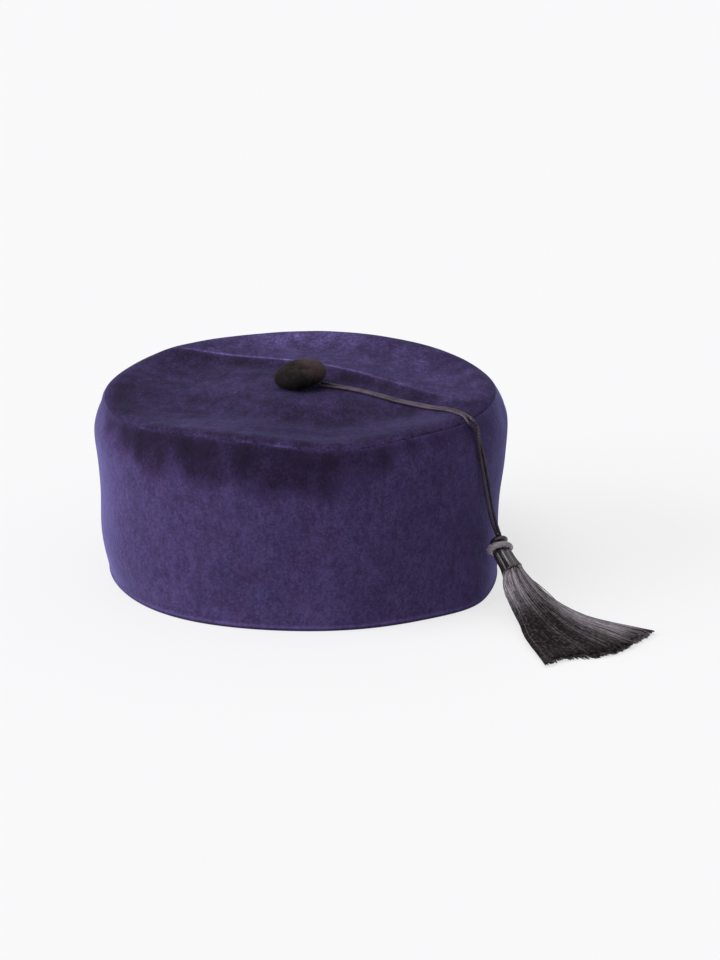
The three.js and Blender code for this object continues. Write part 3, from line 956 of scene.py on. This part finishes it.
def thread_bundle(name, count, low_over, high_over, nodes):
    """Many loose threads, each on its own line from the neck to the tips, as one joined piece."""
    data = bpy.data.curves.new(name, "CURVE")
    data.dimensions = "3D"
    data.bevel_depth = THREAD / 2 * MM
    data.bevel_resolution = 0
    data.use_fill_caps = True
    shades = []
    locks = [(rng.uniform(-1, 1), rng.uniform(0.975, 1), rng.gauss(0, 0.03)) for _ in range(LOCKS)]
    for _ in range(count):
        across = rng.uniform(-1, 1)
        over = rng.uniform(low_over, high_over)
        lock, lock_length, lock_shade = min(locks, key=lambda one: abs(one[0] - across))
        pull = rng.uniform(0.0, 0.15)
        length = lock_length - abs(rng.gauss(0, 0.015))
        stray = STRAY_WAVE if rng.random() < STRAY_SHARE else 1
        wave, phase = stray * rng.uniform(-0.4, 0.4), rng.uniform(0, 2 * pi)
        own_shade = rng.gauss(0, 1)
        line = data.splines.new("POLY")
        line.points.add(THREAD_STEPS - 1)
        for i, point in enumerate(line.points):
            part = i / (THREAD_STEPS - 1) * length
            here = across + (lock - across) * pull * part**1.5
            place = skirt_point(part, here, over)
            place.x += wave * sin(phase + 9 * part) * min(1, 3 * part)
            place.y += wave * cos(phase + 7 * part) * min(1, 3 * part)
            place.z = max(place.z, THREAD / 2)
            point.co = (*place * MM, 1)
            point.radius = 1.0 - 0.4 * part**4
            # painted highlight and shade, then each lock's own tone
            shade = thread_painted_light(part, here)
            shade += lock_shade * (1 + 3 * max(0.0, shade))
            shades.append(min(1.0, max(0.0, shade + own_shade * (0.13 + 0.42 * max(0.0, shade)))))
    return finish_mesh(name, curve_mesh(data, shades), [THREADS], nodes)


# ---- the stage ----
def stage():
    """A pale table top that glows a little, 9 metres in radius so that its edge doesn't show."""
    bm = bmesh.new()
    bmesh.ops.create_circle(bm, cap_ends=True, radius=9.0, segments=96)
    mesh = bpy.data.meshes.new("floor")
    bm.to_mesh(mesh)
    bm.free()
    material, _, _ = start_material(
        "lit_acrylic_table_top",
        {
            "Base Color": colour("#7e7e80"),
            "Roughness": 0.9,
            "Specular IOR Level": 0.1,
            "Emission Color": colour("#fafafa"),
            "Emission Strength": 0.71,
        },
    )
    mesh.materials.append(material)
    floor = bpy.data.objects.new("floor", mesh)
    SCENE.collection.objects.link(floor)


# name, energy, angle it spreads over, elevation, turn from the front to the left
SUNS = [
    ("window_left", 3.15, 50, 18, 72),
    ("ceiling_panel", 1.2, 34, 68, 65),
]


def lights():
    """A bright soft ceiling over dimmer walls, a large window low on the left and a panel over it."""
    world = bpy.data.worlds.new("studio")
    world.use_nodes = True
    tree = world.node_tree
    direction = add_node(tree, "ShaderNodeTexCoord").outputs["Generated"]
    up = add_node(tree, "ShaderNodeSeparateXYZ", {0: direction}).outputs["Z"]
    glow = add_node(
        tree,
        "ShaderNodeMapRange",
        {"Value": up, "From Min": 0.0, "From Max": 0.9, "To Min": 0.18, "To Max": 0.78},
        interpolation_type="SMOOTHSTEP",
    ).outputs[0]
    background = tree.nodes["Background"]
    background.inputs["Color"].default_value = colour("#f8f8fa")
    tree.links.new(glow, background.inputs["Strength"])
    SCENE.world = world
    for name, energy, spread, elevation, leftward in SUNS:
        sun = bpy.data.lights.new(name, "SUN")
        sun.energy = energy
        sun.angle = radians(spread)
        lamp = bpy.data.objects.new(name, sun)
        level = cos(radians(elevation))
        around = radians(leftward)
        towards = Vector((-sin(around) * level, -cos(around) * level, sin(radians(elevation))))
        lamp.rotation_euler = towards.to_track_quat("Z", "Y").to_euler()
        SCENE.collection.objects.link(lamp)
    SCENE.view_settings.view_transform = "Standard"


place_camera()
head = tassel_head()
collar = tassel_collar()
strand("cord_strand_near", STRAND_A_ROUTE, "cord_strand_a")
strand("cord_strand_far", STRAND_B_ROUTE, "cord_strand_b")
side_band()
crown_top()
covered_button()
thread_bundle("tassel_skirt_upper_threads", 1900, 0.4, 1.0, ["tassel_skirt"])
thread_bundle("tassel_skirt_middle_threads", 1300, -0.3, 0.5, [])
thread_bundle("tassel_skirt_lower_threads", 900, -1.0, -0.2, [])
stage()
lights()
